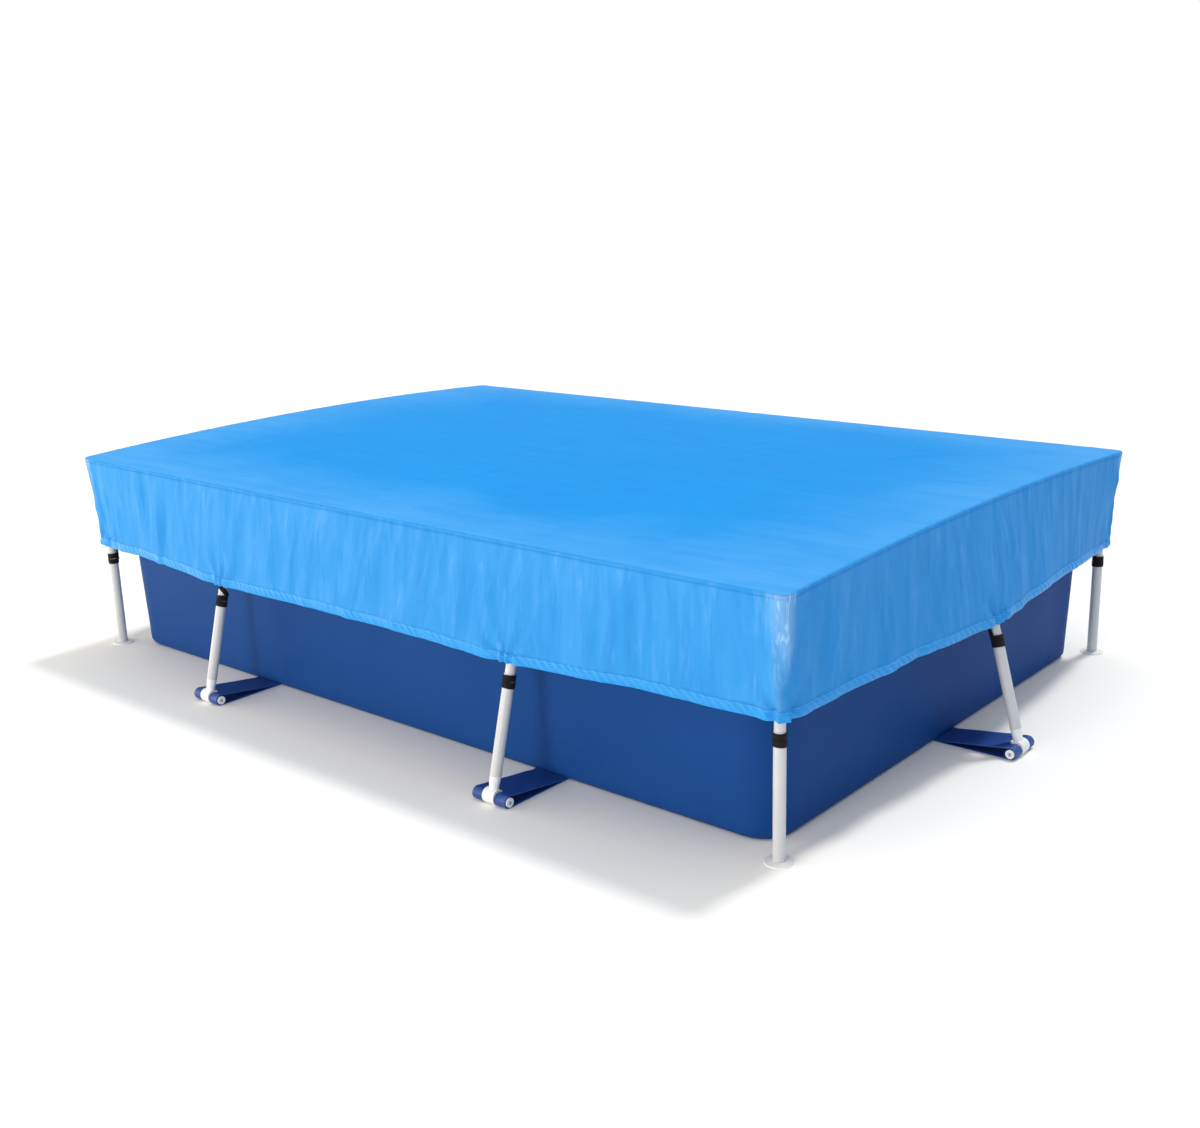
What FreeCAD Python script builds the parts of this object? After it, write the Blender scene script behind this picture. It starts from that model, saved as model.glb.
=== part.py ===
import FreeCAD, Part
import math
import os

os.makedirs("parts", exist_ok=True)

V = FreeCAD.Vector
UP = V(0, 0, 1)
DOWN = V(0, 0, -1)

# Frame footprint, measured between the leg axes, and the height of the rail axes
frame_length = 2960.0
frame_width = 1984.0
rail_height = 695.0

# Leaning supports: the distance between the two of a long side, and how far their feet reach out
support_spacing = 1322.0
foot_reach = 182.0

# Steel tubes and the sockets that take them
rail_radius = 19.0
rail_wall = 1.2
leg_radius = 16.5
leg_wall = 1.5
stub_wall = 1.5
socket_wall = 2.2
socket_gap = 0.3
corner_socket_reach = 85.0
corner_core = 25.0
tee_socket_reach = 60.0
tee_core = 6.0
stub_root = 24.0
leg_top_height = 352.0
stub_insertion = 60.0
seat_gap = 0.3

# Round feet of the corner legs, each with a plug that goes up into the leg
disc_radius = 37.5
disc_edge = 3.0
disc_rise = 6.0
foot_plug_length = 40.0

# Knuckle shoes of the side legs and the pins through them
knuckle_radius = 22.0
knuckle_width = 42.0
shoe_neck = 55.0
shoe_neck_radius = 12.5
shoe_plug_length = 45.0
pin_radius = 12.0
pin_overhang = 4.0
pin_head_radius = 13.5
pin_head_thickness = 4.5
pin_gap = 0.3

# Ground straps, each folded round its pin in two loops
strap_width = 124.0
strap_loop_wall = 6.0
strap_thickness = 4.4
strap_weld_distance = 225.0
strap_cavity_length = 200.0
strap_slot_gap = 1.0
strap_slot_depth = 28.0

# Liner bag, whose walls draw in from the rails to the ground
liner_top_inset = 25.0
liner_foot_inset = 50.0
liner_sheet = 2.0
liner_height = 645.0
liner_corner_inset = 150.0
liner_bottom_bevel = 18.0
sleeve_gap = 0.3
sleeve_sheet = 1.2
sleeve_folds = 8
sleeve_tab = 45.0
sleeve_fork = 0.84
sleeve_clear_of_tee = 15.0

# Drain valve, low on the back wall
drain_position = -1130.0
drain_height = 78.0
drain_flange_radius = 34.0
drain_flange_thickness = 3.0
drain_spout_radius = 20.0
drain_spout_length = 26.0
drain_bore_radius = 14.0
drain_cap_wall = 3.0
drain_cap_length = 24.0
thread_gap = 0.3

# Fitted cover
cover_sheet = 2.0
cover_overhang = 49.0
cover_arch = 26.0
cover_corner_radius = 30.0
hem_above_legs = 33.0
hem_depth = 32.0
hem_corner_offset = 31.0
hem_thickness = 4.0
hem_rub_gap = 1.0
fold_pitch = 340.0
fold_depth = 9.0
support_hug = 30.0
support_hug_drop = 3.0

# Tie straps wound on the leg tops
tie_height = 38.0
tie_ply = 1.5
tie_turns = 2
tie_gap = 0.3
tie_tail_width = 14.0
tie_tail_rise = 54.0

# Derived sizes
half_length = frame_length / 2
half_width = frame_width / 2
socket_bore = rail_radius + socket_gap
socket_radius = socket_bore + socket_wall
stub_radius = leg_radius - leg_wall - socket_gap
hem_height = leg_top_height + hem_above_legs
leg_run = math.hypot(foot_reach, rail_height - knuckle_radius)
lean = math.atan2(foot_reach, rail_height - knuckle_radius)
side_leg_top = (rail_height - leg_top_height) / math.cos(lean)
hem_support_offset = (
    (rail_height - hem_height) * math.tan(lean)
    + stub_radius / math.cos(lean)
    + hem_rub_gap
    + hem_thickness
)
cover_underside = rail_height + socket_radius + seat_gap
cover_edge_height = cover_underside + cover_sheet
loop_radius = pin_radius + pin_gap + strap_loop_wall

# Reach of the blocks that only cut or part other shapes, well past anything that they meet,
# and how near to a plane an edge must lie to be picked by it
cut_reach = 200.0
pick_margin = 0.01


def cylinder(radius, length, base, direction):
    return Part.makeCylinder(radius, length, base, direction)


def tube(outer, inner, length, base, direction):
    return cylinder(outer, length, base, direction).cut(cylinder(inner, length, base, direction))


def prism(points, direction):
    """Solid swept from a flat closed polygon."""
    return Part.Face(Part.makePolygon(points + points[:1])).extrude(direction)


def blend(start, end, share):
    return start + (end - start) * share


def tangent_point(centre, radius, tip, side):
    """Where a line from tip touches the circle, in the plane of the sides and heights; side is 1 or -1."""
    reach, rise = tip[0] - centre[0], tip[1] - centre[1]
    angle = math.atan2(rise, reach) + side * math.acos(radius / math.hypot(reach, rise))
    return centre[0] + radius * math.cos(angle), centre[1] + radius * math.sin(angle)


def section(pieces):
    """Face in the plane across a side, from lines and arcs given as points of (outward, height)."""
    edges = []
    for piece in pieces:
        points = [V(0, -outward, height) for outward, height in piece]
        if len(points) == 3:
            edges.append(Part.Arc(*points).toShape())
        else:
            edges.append(Part.makeLine(*points))
    return Part.Face(Part.Wire(edges))


# Every side is built looking along its own run, with outward as -Y, and then turned into place.
# A side's turn is the angle about Z that carries the front side onto it.
pair = [-support_spacing / 2, support_spacing / 2]
sides = {
    "front": {"turn": 0, "half": half_length, "line": half_width, "supports": pair},
    "right": {"turn": 90, "half": half_width, "line": half_length, "supports": [0.0]},
    "back": {"turn": 180, "half": half_length, "line": half_width, "supports": pair},
    "left": {"turn": 270, "half": half_width, "line": half_length, "supports": [0.0]},
}
# Corner at the start of each side, seen with the side's outward direction towards the viewer
corners = {
    "front_left": ("front", -half_length, -half_width),
    "front_right": ("right", half_length, -half_width),
    "back_right": ("back", half_length, half_width),
    "back_left": ("left", -half_length, half_width),
}
support_names = {
    "front": ["front_left", "front_right"],
    "right": ["right"],
    "back": ["back_right", "back_left"],
    "left": ["left"],
}


def set_on_side(shape, side, along):
    """Move a shape built at a side's leg line to its place on that side."""
    placed = shape.copy()
    placed.translate(V(along, -sides[side]["line"], 0))
    placed.rotate(V(0, 0, 0), UP, sides[side]["turn"])
    return placed


def set_on_corner(shape, name):
    """Turn a shape built for the front left corner and move it to the named corner."""
    side, x, y = corners[name]
    placed = shape.copy()
    placed.rotate(V(0, 0, 0), UP, sides[side]["turn"])
    placed.translate(V(x, y, 0))
    return placed


def supports():
    """Name, side and distance along that side of each leaning support."""
    for side, names in support_names.items():
        for name, along in zip(names, sides[side]["supports"]):
            yield name, side, along


# Leaning axis of a side support, from the rail axis down to the centre of the knuckle
lean_direction = V(0, -math.sin(lean), -math.cos(lean))
rail_point = V(0, 0, rail_height)


def on_lean(distance):
    """Point on the leaning axis, at a distance from the rail axis."""
    return rail_point + lean_direction * distance


# Frame joints

def corner_joint():
    """Three-way corner: two sockets for the rails and a long stub for the leg, round a ball."""
    stub_end = leg_top_height - stub_insertion
    body = Part.makeSphere(socket_radius, rail_point)
    stub = cylinder(stub_radius, rail_height - stub_end, V(0, 0, stub_end), UP)
    body = body.fuse(stub)
    for along in (V(1, 0, 0), V(0, 1, 0)):
        body = body.fuse(cylinder(socket_radius, corner_socket_reach, rail_point, along))
    for along in (V(1, 0, 0), V(0, 1, 0)):
        depth = corner_socket_reach - corner_core
        body = body.cut(cylinder(socket_bore, depth, rail_point + along * corner_core, along))
    bore_length = rail_height - stub_end - stub_root
    return body.cut(cylinder(stub_radius - stub_wall, bore_length, V(0, 0, stub_end), UP))


def tee_joint():
    """Tee: a sleeve that takes a rail from each way, and a stub that leans out to the foot."""
    along = V(1, 0, 0)
    start = rail_point - along * tee_socket_reach
    body = cylinder(socket_radius, 2 * tee_socket_reach, start, along)
    stub_length = side_leg_top + stub_insertion
    body = body.fuse(cylinder(stub_radius, stub_length, rail_point, lean_direction))
    body = body.cut(cylinder(socket_bore, 2 * tee_socket_reach, start, along))
    bore = cylinder(stub_radius - stub_wall, stub_length - stub_root, on_lean(stub_root), lean_direction)
    return body.cut(bore)


def rails(side):
    """Straight rails of one side, each pushed into the sockets at its two ends."""
    stops = [-sides[side]["half"]] + sides[side]["supports"] + [sides[side]["half"]]
    last = len(stops) - 1
    for i in range(last):
        start = stops[i] + seat_gap + (corner_core if i == 0 else tee_core)
        end = stops[i + 1] - seat_gap - (corner_core if i + 1 == last else tee_core)
        rail = tube(rail_radius, rail_radius - rail_wall, end - start, rail_point, V(1, 0, 0))
        yield set_on_side(rail, side, start)


# Legs and feet

def corner_leg():
    foot = disc_rise + seat_gap
    return tube(leg_radius, leg_radius - leg_wall, leg_top_height - foot, V(0, 0, foot), UP)


def side_leg():
    length = leg_run - shoe_neck - seat_gap - side_leg_top
    return tube(leg_radius, leg_radius - leg_wall, length, on_lean(side_leg_top), lean_direction)


def foot_disc():
    """Turned foot: a flat disc, dished up to the leg's end, and the plug inside the leg."""
    profile = [
        V(0, 0, 0),
        V(disc_radius, 0, 0),
        V(disc_radius, 0, disc_edge),
        V(leg_radius, 0, disc_rise),
        V(stub_radius, 0, disc_rise),
        V(stub_radius, 0, disc_rise + foot_plug_length),
        V(0, 0, disc_rise + foot_plug_length),
    ]
    return Part.Face(Part.makePolygon(profile + profile[:1])).revolve(V(0, 0, 0), UP, 360)


def leg_shoe():
    """Knuckle that lies between the strap loops, with a neck and a plug up into the leg."""
    centre = on_lean(leg_run)
    along = V(1, 0, 0)
    up_leg = lean_direction * -1
    start = centre - along * (knuckle_width / 2)
    knuckle = cylinder(knuckle_radius, knuckle_width, start, along)
    neck = Part.makeCone(shoe_neck_radius, leg_radius, shoe_neck, centre, up_leg)
    plug = cylinder(stub_radius, shoe_plug_length, on_lean(leg_run - shoe_neck), up_leg)
    body = knuckle.fuse(neck).fuse(plug)
    pin_hole = V(-cut_reach, -foot_reach, loop_radius)
    return body.cut(cylinder(pin_radius + pin_gap, 2 * cut_reach, pin_hole, along))


def strap_pin(way):
    """Pin through both loops and the knuckle, with its head on one side."""
    along = V(way, 0, 0)
    half = strap_width / 2
    start = V(0, -foot_reach, loop_radius) - along * (half + pin_overhang)
    body = cylinder(pin_radius, strap_width + pin_overhang + seat_gap, start, along)
    head_start = V(0, -foot_reach, loop_radius) + along * (half + seat_gap)
    return body.fuse(cylinder(pin_head_radius, pin_head_thickness, head_start, along))


def ground_strap():
    """Strap from under the liner's bottom edge, folded round the pin and welded back on itself."""
    centre = (foot_reach, loop_radius)
    inner_end = -(liner_foot_inset + liner_bottom_bevel - strap_thickness - seat_gap)
    weld = (foot_reach - strap_weld_distance, strap_thickness)
    top = tangent_point(centre, loop_radius, weld, -1)
    outer = section([
        [(inner_end, 0), (foot_reach, 0)],
        [(foot_reach, 0), (foot_reach + loop_radius, loop_radius), top],
        [top, weld],
        [weld, (inner_end, strap_thickness)],
        [(inner_end, strap_thickness), (inner_end, 0)],
    ])
    bore = pin_radius + pin_gap
    tip = (foot_reach - strap_cavity_length, strap_thickness / 2)
    low = tangent_point(centre, bore, tip, 1)
    high = tangent_point(centre, bore, tip, -1)
    cavity = section([
        [tip, low],
        [low, (foot_reach + bore, loop_radius), high],
        [high, tip],
    ])
    body = outer.extrude(V(strap_width, 0, 0)).cut(cavity.extrude(V(strap_width, 0, 0)))
    body.translate(V(-strap_width / 2, 0, 0))
    slot = knuckle_width + 2 * strap_slot_gap
    slot_corner = V(-slot / 2, -foot_reach + strap_slot_depth - cut_reach, -cut_reach / 2)
    return body.cut(Part.makeBox(slot, cut_reach, cut_reach, slot_corner))


# Liner

def wall_inset(height):
    """How far the wall's outer face stands inside the leg lines at a height above the bevel."""
    share = (height - liner_bottom_bevel) / (liner_height - liner_bottom_bevel)
    return blend(liner_foot_inset, liner_top_inset, share)


def liner_wall():
    """Strip of the wall run along each side and turned about an upright axis at each corner."""
    flat = liner_foot_inset + liner_bottom_bevel
    # Up the outside, over the top edge and down the inside, as (inset, height)
    strip = [(flat, 0), (liner_foot_inset, liner_bottom_bevel), (liner_top_inset, liner_height)]
    strip += [(inset + liner_sheet, height) for inset, height in strip[:0:-1]] + [(flat, liner_sheet)]
    points = [V(0, inset, height) for inset, height in strip]
    corner = Part.Face(Part.makePolygon(points + points[:1]))
    corner = corner.revolve(V(0, liner_corner_inset, 0), UP, 90)
    pieces = []
    for side, data in sides.items():
        end = data["half"] - liner_corner_inset
        pieces.append(set_on_side(prism(points, V(2 * end, 0, 0)), side, -end))
        pieces.append(set_on_side(corner, side, end))
    wall = pieces[0].multiFuse(pieces[1:]).removeSplitter()
    hole_start = V(drain_position, half_width, drain_height)
    return wall.cut(cylinder(drain_bore_radius, cut_reach, hole_start, V(0, -1, 0)))


def liner_floor():
    """Flat sheet on the ground, out to where the wall's bottom bevel starts."""
    flat = liner_foot_inset + liner_bottom_bevel
    radius = liner_corner_inset - flat
    bend = radius * (1 - math.sqrt(0.5))
    edges = []
    for data in sides.values():
        turn = FreeCAD.Rotation(UP, data["turn"])
        end, reach = data["half"] - liner_corner_inset, data["line"] - flat
        run = [(-end, reach), (end, reach), (end + radius - bend, reach - bend),
               (end + radius, reach - radius)]
        places = [turn.multVec(V(along, -outward, 0)) for along, outward in run]
        edges += [Part.makeLine(places[0], places[1]), Part.Arc(*places[1:]).toShape()]
    return Part.Face(Part.Wire(edges)).extrude(UP * liner_sheet)


def folded_round(centre, radius, start, end):
    """Straight folds of a sheet laid over a circle, each touching it, from one point to another."""
    high = tangent_point(centre, radius, start, -1)
    low = tangent_point(centre, radius, end, 1)
    first = math.atan2(high[1] - centre[1], high[0] - centre[0])
    last = math.atan2(low[1] - centre[1], low[0] - centre[0])
    step = (last - first) / sleeve_folds
    reach = radius / math.cos(step / 2)
    turns = [first + step * (k + 0.5) for k in range(sleeve_folds)]
    folds = [(centre[0] + reach * math.cos(a), centre[1] + reach * math.sin(a)) for a in turns]
    return [start] + folds + [end]


def sleeve_face():
    """Section of a rail sleeve: a loop round the rail that draws down to a tab on the liner wall."""
    centre = (0.0, rail_height)
    radius = rail_radius + sleeve_gap
    wall_face = -wall_inset(liner_height)
    tab_face = wall_face + sleeve_sheet
    tab_foot = liner_height - sleeve_tab
    outside = folded_round(centre, radius + sleeve_sheet, (wall_face, liner_height), (tab_face, liner_height))
    outside += [(sleeve_sheet - wall_inset(tab_foot), tab_foot), (-wall_inset(tab_foot), tab_foot)]
    fork = (blend(0, (wall_face + tab_face) / 2, sleeve_fork), blend(rail_height, liner_height, sleeve_fork))
    inside = folded_round(centre, radius, fork, fork)[:-1]
    faces = [section(zip(points, points[1:] + points[:1])) for points in (outside, inside)]
    return faces[0].cut(faces[1])


def rail_sleeves():
    face = sleeve_face()
    solids = []
    for side, data in sides.items():
        stops = [-data["half"] + liner_corner_inset]
        for along in data["supports"]:
            clear = tee_socket_reach + sleeve_clear_of_tee
            stops += [along - clear, along + clear]
        stops.append(data["half"] - liner_corner_inset)
        for start, end in zip(stops[::2], stops[1::2]):
            solids.append(set_on_side(face.extrude(V(end - start, 0, 0)), side, start))
    return solids


# Drain valve

def drain_valve():
    """Flange cut to the wall's sloping face, with a short spout, and the screw cap over it."""
    out = V(0, 1, 0)
    face = V(drain_position, half_width - wall_inset(drain_height), drain_height)
    back = face - out * drain_flange_thickness
    flange = cylinder(drain_flange_radius, 2 * drain_flange_thickness, back, out)
    reach = drain_flange_thickness + drain_spout_length
    body = flange.fuse(cylinder(drain_spout_radius, reach, face, out))
    slope = [(wall_inset(height), height) for height in (0, liner_height)]
    inside = slope + [(cut_reach, liner_height), (cut_reach, 0)]
    behind = [V(drain_position - cut_reach, half_width - inset, height) for inset, height in inside]
    body = body.cut(prism(behind, V(2 * cut_reach, 0, 0)))
    body = body.cut(cylinder(drain_bore_radius, drain_flange_thickness + reach, back, out))
    cap_radius = drain_spout_radius + thread_gap + drain_cap_wall
    cap_start = face + out * (reach + seat_gap + drain_cap_wall - drain_cap_length)
    cap = cylinder(cap_radius, drain_cap_length, cap_start, out)
    cup = cylinder(drain_spout_radius + thread_gap, drain_cap_length - drain_cap_wall, cap_start, out)
    return body, cap.cut(cup)


# Cover

def side_points(data, corner, support, drop, depth, radius):
    """Points of one side's outline as (along, outward): folds that stand out between the fixed points."""
    half = data["half"]
    fixed = [(-(half + corner - radius), corner)]
    for along in data["supports"]:
        fixed += [(along - support_hug, support - drop), (along + support_hug, support - drop)]
    fixed.append((half + corner - radius, corner))
    points = fixed[:1]
    for (start, start_out), (end, end_out) in zip(fixed, fixed[1:]):
        on_support = end - start <= 2 * support_hug
        folds = 1 if on_support else max(1, round((end - start) / fold_pitch))
        rise = drop if on_support else depth
        for k in range(2 * folds):
            share = (k + 1) / (2 * folds)
            out = blend(start_out, end_out, share) + (rise if k % 2 == 0 else 0)
            points.append((blend(start, end, share), out))
    return points


def outline(height, inset):
    """Closed outline of the cover at a height, its folds and drawn-in places deepening to the hem."""
    fraction = (cover_edge_height - height) / (cover_edge_height - hem_height)
    corner = blend(cover_overhang, hem_corner_offset, fraction) - inset
    support = blend(cover_overhang, hem_support_offset, fraction) - inset
    drop = support_hug_drop * max(fraction, 0)
    depth = fold_depth * max(fraction, 0)
    radius = cover_corner_radius - inset
    edges = []
    for data in sides.values():
        turn = FreeCAD.Rotation(UP, data["turn"])
        points = side_points(data, corner, support, drop, depth, radius)
        reach = radius * math.sqrt(0.5)
        points.append((points[-1][0] + reach, corner - radius + reach))
        points.append((data["half"] + corner, corner - radius))
        run = [turn.multVec(V(along, -data["line"] - out, height)) for along, out in points]
        edges += [Part.makeLine(start, end) for start, end in zip(run[:-2], run[1:-2])]
        edges.append(Part.Arc(*run[-3:]).toShape())
    return Part.Wire(edges)


def band(high, low, near, far):
    """Ring of cloth between two heights, from one depth under the outer face to another."""
    outer = Part.makeLoft([outline(high, near), outline(low, near)], True, True)
    inner = Part.makeLoft([outline(high, far), outline(low, far)], True, True)
    return outer.cut(inner)


def arch(lift):
    """Block under the arched top sheet, whose upper face spans the long sides at the given lift."""
    reach = half_width + cut_reach
    end = -half_length - cut_reach
    curve_radius = (half_width ** 2 + cover_arch ** 2) / (2 * cover_arch)
    crown = cover_underside + lift + cover_arch

    def on_arch(y):
        return V(end, y, crown - curve_radius + math.sqrt(curve_radius ** 2 - y ** 2))

    left, right = on_arch(-reach), on_arch(reach)
    feet = [V(end, reach, hem_height - cut_reach), V(end, -reach, hem_height - cut_reach)]
    edges = [Part.Arc(left, on_arch(0), right).toShape()]
    edges += [Part.makeLine(*ends) for ends in ((right, feet[0]), (feet[0], feet[1]), (feet[1], left))]
    return Part.Face(Part.Wire(edges)).extrude(V(-2 * end, 0, 0))


def side_wedge(side):
    """Block that holds one side's share of the skirt, parted at the corners' diagonals."""
    out, deep = cut_reach, min(half_width, half_length) / 2
    half, line = sides[side]["half"], sides[side]["line"]
    points = [
        V(-half - out, -line - out, 0),
        V(half + out, -line - out, 0),
        V(half - deep, -line + deep, 0),
        V(-half + deep, -line + deep, 0),
    ]
    wedge = prism(points, UP * (cover_edge_height + cut_reach))
    wedge.rotate(V(0, 0, 0), UP, sides[side]["turn"])
    return wedge


def cover():
    """Top sheet, four skirt panels and the thick hem round them."""
    above = cover_edge_height + cover_arch + hem_depth
    hem_top = hem_height + hem_depth
    whole = Part.makeLoft([outline(above, 0), outline(hem_top, 0)], True, True)
    top = whole.common(arch(cover_sheet).cut(arch(0)))
    ring = band(above, hem_top, 0, cover_sheet).common(arch(0))
    panels = {side: ring.common(side_wedge(side)) for side in sides}
    return top, panels, band(hem_top, hem_height, 0, hem_thickness)


# Ties

def tie(top, direction, tail_way):
    """Strap wound round a leg's top, with its tail laid up inside the hem."""
    inner = leg_radius + tie_gap
    outer = inner + tie_turns * tie_ply
    ring = tube(outer, inner, tie_height, top + direction, direction)
    across = tail_way.cross(direction)
    base = top + direction * (tie_height / 2) + tail_way * inner - across * (tie_tail_width / 2)
    rise = direction * -(tie_tail_rise + tie_height / 2)
    thick = tail_way * tie_ply
    face = [base, base + across * tie_tail_width, base + across * tie_tail_width + thick, base + thick]
    clear = cylinder(inner, 2 * cut_reach, top - direction * cut_reach, direction)
    return ring.fuse(prism(face, rise)).cut(clear)


def save(name, *solids):
    shape = solids[0] if len(solids) == 1 else Part.makeCompound(list(solids))
    shape.exportStep("parts/" + name + ".step")
    count = len(shape.Solids)
    box = shape.BoundBox
    print(f"{name}: {count} solids, valid {shape.isValid()}, volume {shape.Volume / 1000:.0f} cm3,"
          f" {box.XLength:.1f} x {box.YLength:.1f} x {box.ZLength:.1f}, low {box.ZMin:.2f}")


# Assembly
corner_shape, corner_tube, disc = corner_joint(), corner_leg(), foot_disc()
corner_tie = tie(V(0, 0, leg_top_height), DOWN, V(math.sqrt(0.5), math.sqrt(0.5), 0))
for row in ("front", "back"):
    names = [name for name in corners if name.startswith(row)]
    save("corner_joints_" + row, *[set_on_corner(corner_shape, name) for name in names])
    save("corner_legs_" + row, *[set_on_corner(corner_tube, name) for name in names])
save("corner_feet", *[set_on_corner(disc, name) for name in corners])
save("corner_ties", *[set_on_corner(corner_tie, name) for name in corners])

side_tie = tie(on_lean(side_leg_top), lean_direction, V(-1, 0, 0))
groups = {"front": ["front"], "back": ["back"], "ends": ["left", "right"]}
pieces = {
    "tee_joints_": tee_joint(),
    "side_legs_": side_leg(),
    "leg_shoes_": leg_shoe(),
    "ground_straps_": ground_strap(),
}
for piece, shape in pieces.items():
    for group, members in groups.items():
        places = [(side, along) for _, side, along in supports() if side in members]
        save(piece + group, *[set_on_side(shape, side, along) for side, along in places])
save("side_ties", *[set_on_side(side_tie, side, along) for _, side, along in supports()])
for name, side, along in supports():
    head_way = 1 if side in ("front", "back") else -1
    save("strap_pin_" + name, set_on_side(strap_pin(head_way), side, along))

span_names = {3: ["left", "middle", "right"], 2: ["near", "far"]}
for side in sides:
    spans = list(rails(side))
    if side in ("back", "left"):
        spans.reverse()
    for span_name, span in zip(span_names[len(spans)], spans):
        save(f"{side}_rail_{span_name}", span)

save("liner_wall", liner_wall())
save("liner_floor", liner_floor())
save("rail_sleeves", *rail_sleeves())
valve, cap = drain_valve()
save("drain_valve", valve)
save("drain_cap", cap)

top_sheet, skirt, hem = cover()
save("cover_top", top_sheet)
for side, panel in skirt.items():
    save("cover_skirt_" + side, panel)
save("cover_hem", hem)
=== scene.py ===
import math

import bpy
import numpy as np
from mathutils import Matrix, Vector


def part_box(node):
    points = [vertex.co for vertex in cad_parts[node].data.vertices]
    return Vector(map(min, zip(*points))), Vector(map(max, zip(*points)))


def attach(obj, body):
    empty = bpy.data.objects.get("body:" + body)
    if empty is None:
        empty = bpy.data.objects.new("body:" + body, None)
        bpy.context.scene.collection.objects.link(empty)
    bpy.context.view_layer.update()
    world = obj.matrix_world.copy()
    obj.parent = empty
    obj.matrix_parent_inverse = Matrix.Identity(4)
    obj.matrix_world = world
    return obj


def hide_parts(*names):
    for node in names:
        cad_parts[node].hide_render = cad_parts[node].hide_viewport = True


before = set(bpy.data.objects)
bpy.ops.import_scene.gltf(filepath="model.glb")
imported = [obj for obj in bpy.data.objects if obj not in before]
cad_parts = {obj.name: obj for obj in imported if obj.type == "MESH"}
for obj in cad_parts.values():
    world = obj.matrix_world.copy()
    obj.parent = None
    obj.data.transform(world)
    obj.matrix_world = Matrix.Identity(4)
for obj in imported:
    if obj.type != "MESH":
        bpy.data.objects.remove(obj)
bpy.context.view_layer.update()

# Camera
# The photograph is taken from a standing height in front of the near corner,
# with a slight tilt to the left and a normal lens.
eye = Vector((3.2608, -3.7181, 1.6742))
heading, dip, tilt = math.radians(40.67), math.radians(15.40), math.radians(-1.62)
lens = 42.73
camera = bpy.data.objects.new("camera", bpy.data.cameras.new("camera"))
bpy.context.collection.objects.link(camera)
facing = Matrix.Rotation(heading, 4, "Z") @ Matrix.Rotation(math.pi / 2 - dip, 4, "X")
camera.matrix_world = Matrix.Translation(eye) @ facing @ Matrix.Rotation(tilt, 4, "Z")
camera.data.lens = lens
camera.data.sensor_width = 36
camera.data.clip_end = 200
bpy.context.scene.camera = camera


# Floor and light
# A pale floor runs out into a white room, bluish low on its right. A lamp above and behind
# throws the soft shadow, a large warm box stands at the front left, a small warm card in front.
def fill(socket, value):
    """Sets a node's socket from a Link or from a plain value."""
    if isinstance(value, Link):
        value.tree.links.new(value.socket, socket)
    else:
        socket.default_value = value


class Link:
    """A socket of a material's nodes: arithmetic on it adds Math nodes, and node() adds any other."""

    def __init__(self, tree, socket=None):
        self.tree, self.socket = tree, socket

    def node(self, kind, settings=None, output=0, **sockets):
        """New node. Its sockets are given by name, or by number as i0, i1 and so on."""
        node = self.tree.nodes.new(kind)
        for name, value in (settings or {}).items():
            setattr(node, name, value)
        for name, value in sockets.items():
            fill(node.inputs[int(name[1:]) if name[1:].isdigit() else name.replace("_", " ")], value)
        return Link(self.tree, None if output is None else node.outputs[output])

    def math(self, operation, first, second=0.0):
        return self.node("ShaderNodeMath", {"operation": operation}, i0=first, i1=second)

    def __add__(self, other): return self.math("ADD", self, other)
    def __radd__(self, other): return self.math("ADD", other, self)
    def __sub__(self, other): return self.math("SUBTRACT", self, other)
    def __rsub__(self, other): return self.math("SUBTRACT", other, self)
    def __mul__(self, other): return self.math("MULTIPLY", self, other)
    def __rmul__(self, other): return self.math("MULTIPLY", other, self)
    def __truediv__(self, other): return self.math("DIVIDE", self, other)
    def __pow__(self, other): return self.math("POWER", self, other)
    def __abs__(self): return self.math("ABSOLUTE", self)

    def sine(self):
        return self.math("SINE", self)

    def above(self, low, high):
        """Runs softly from 0 to 1 as this value goes from low to high."""
        return self.node("ShaderNodeMapRange", {"interpolation_type": "SMOOTHSTEP"}, Value=self,
                         i1=low, i2=high)

    def spot(self):
        """Place on the object, in metres."""
        return self.node("ShaderNodeTexCoord", output=3)

    def unfolded(self):
        """Place on the cloth's unfolded plan, as two lengths."""
        return self.node("ShaderNodeUVMap", {"uv_map": "unfolded"}).axes()[:2]

    def axes(self):
        """This vector's three parts."""
        parts = self.node("ShaderNodeSeparateXYZ", Vector=self).socket.node.outputs
        return [Link(self.tree, part) for part in parts]

    def noise(self, scale, detail=3.0, roughness=0.55, distortion=0.0):
        """Cloudy values from 0 to 1 at this place."""
        return self.node("ShaderNodeTexNoise", Vector=self, Scale=scale, Detail=detail, Roughness=roughness,
                         Distortion=distortion)

    def bump(self, strength, depth):
        """Normals for this value as a relief, its depth in metres."""
        return self.node("ShaderNodeBump", Strength=strength, Distance=depth, Height=self)

    def mixed(self, share, first, second):
        """Colour between two colours."""
        return self.node("ShaderNodeMix", {"data_type": "RGBA"}, output=2, Factor=share, i6=first, i7=second)


def finish(name):
    """New material, its shader node, and a Link to start its other nodes from."""
    material = bpy.data.materials.new(name)
    material.use_nodes = True
    return material, material.node_tree.nodes["Principled BSDF"], Link(material.node_tree)


def feed(shader, **inputs):
    """Sets the shader's sockets by name."""
    for name, value in inputs.items():
        fill(shader.inputs[name.replace("_", " ")], value)


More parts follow.
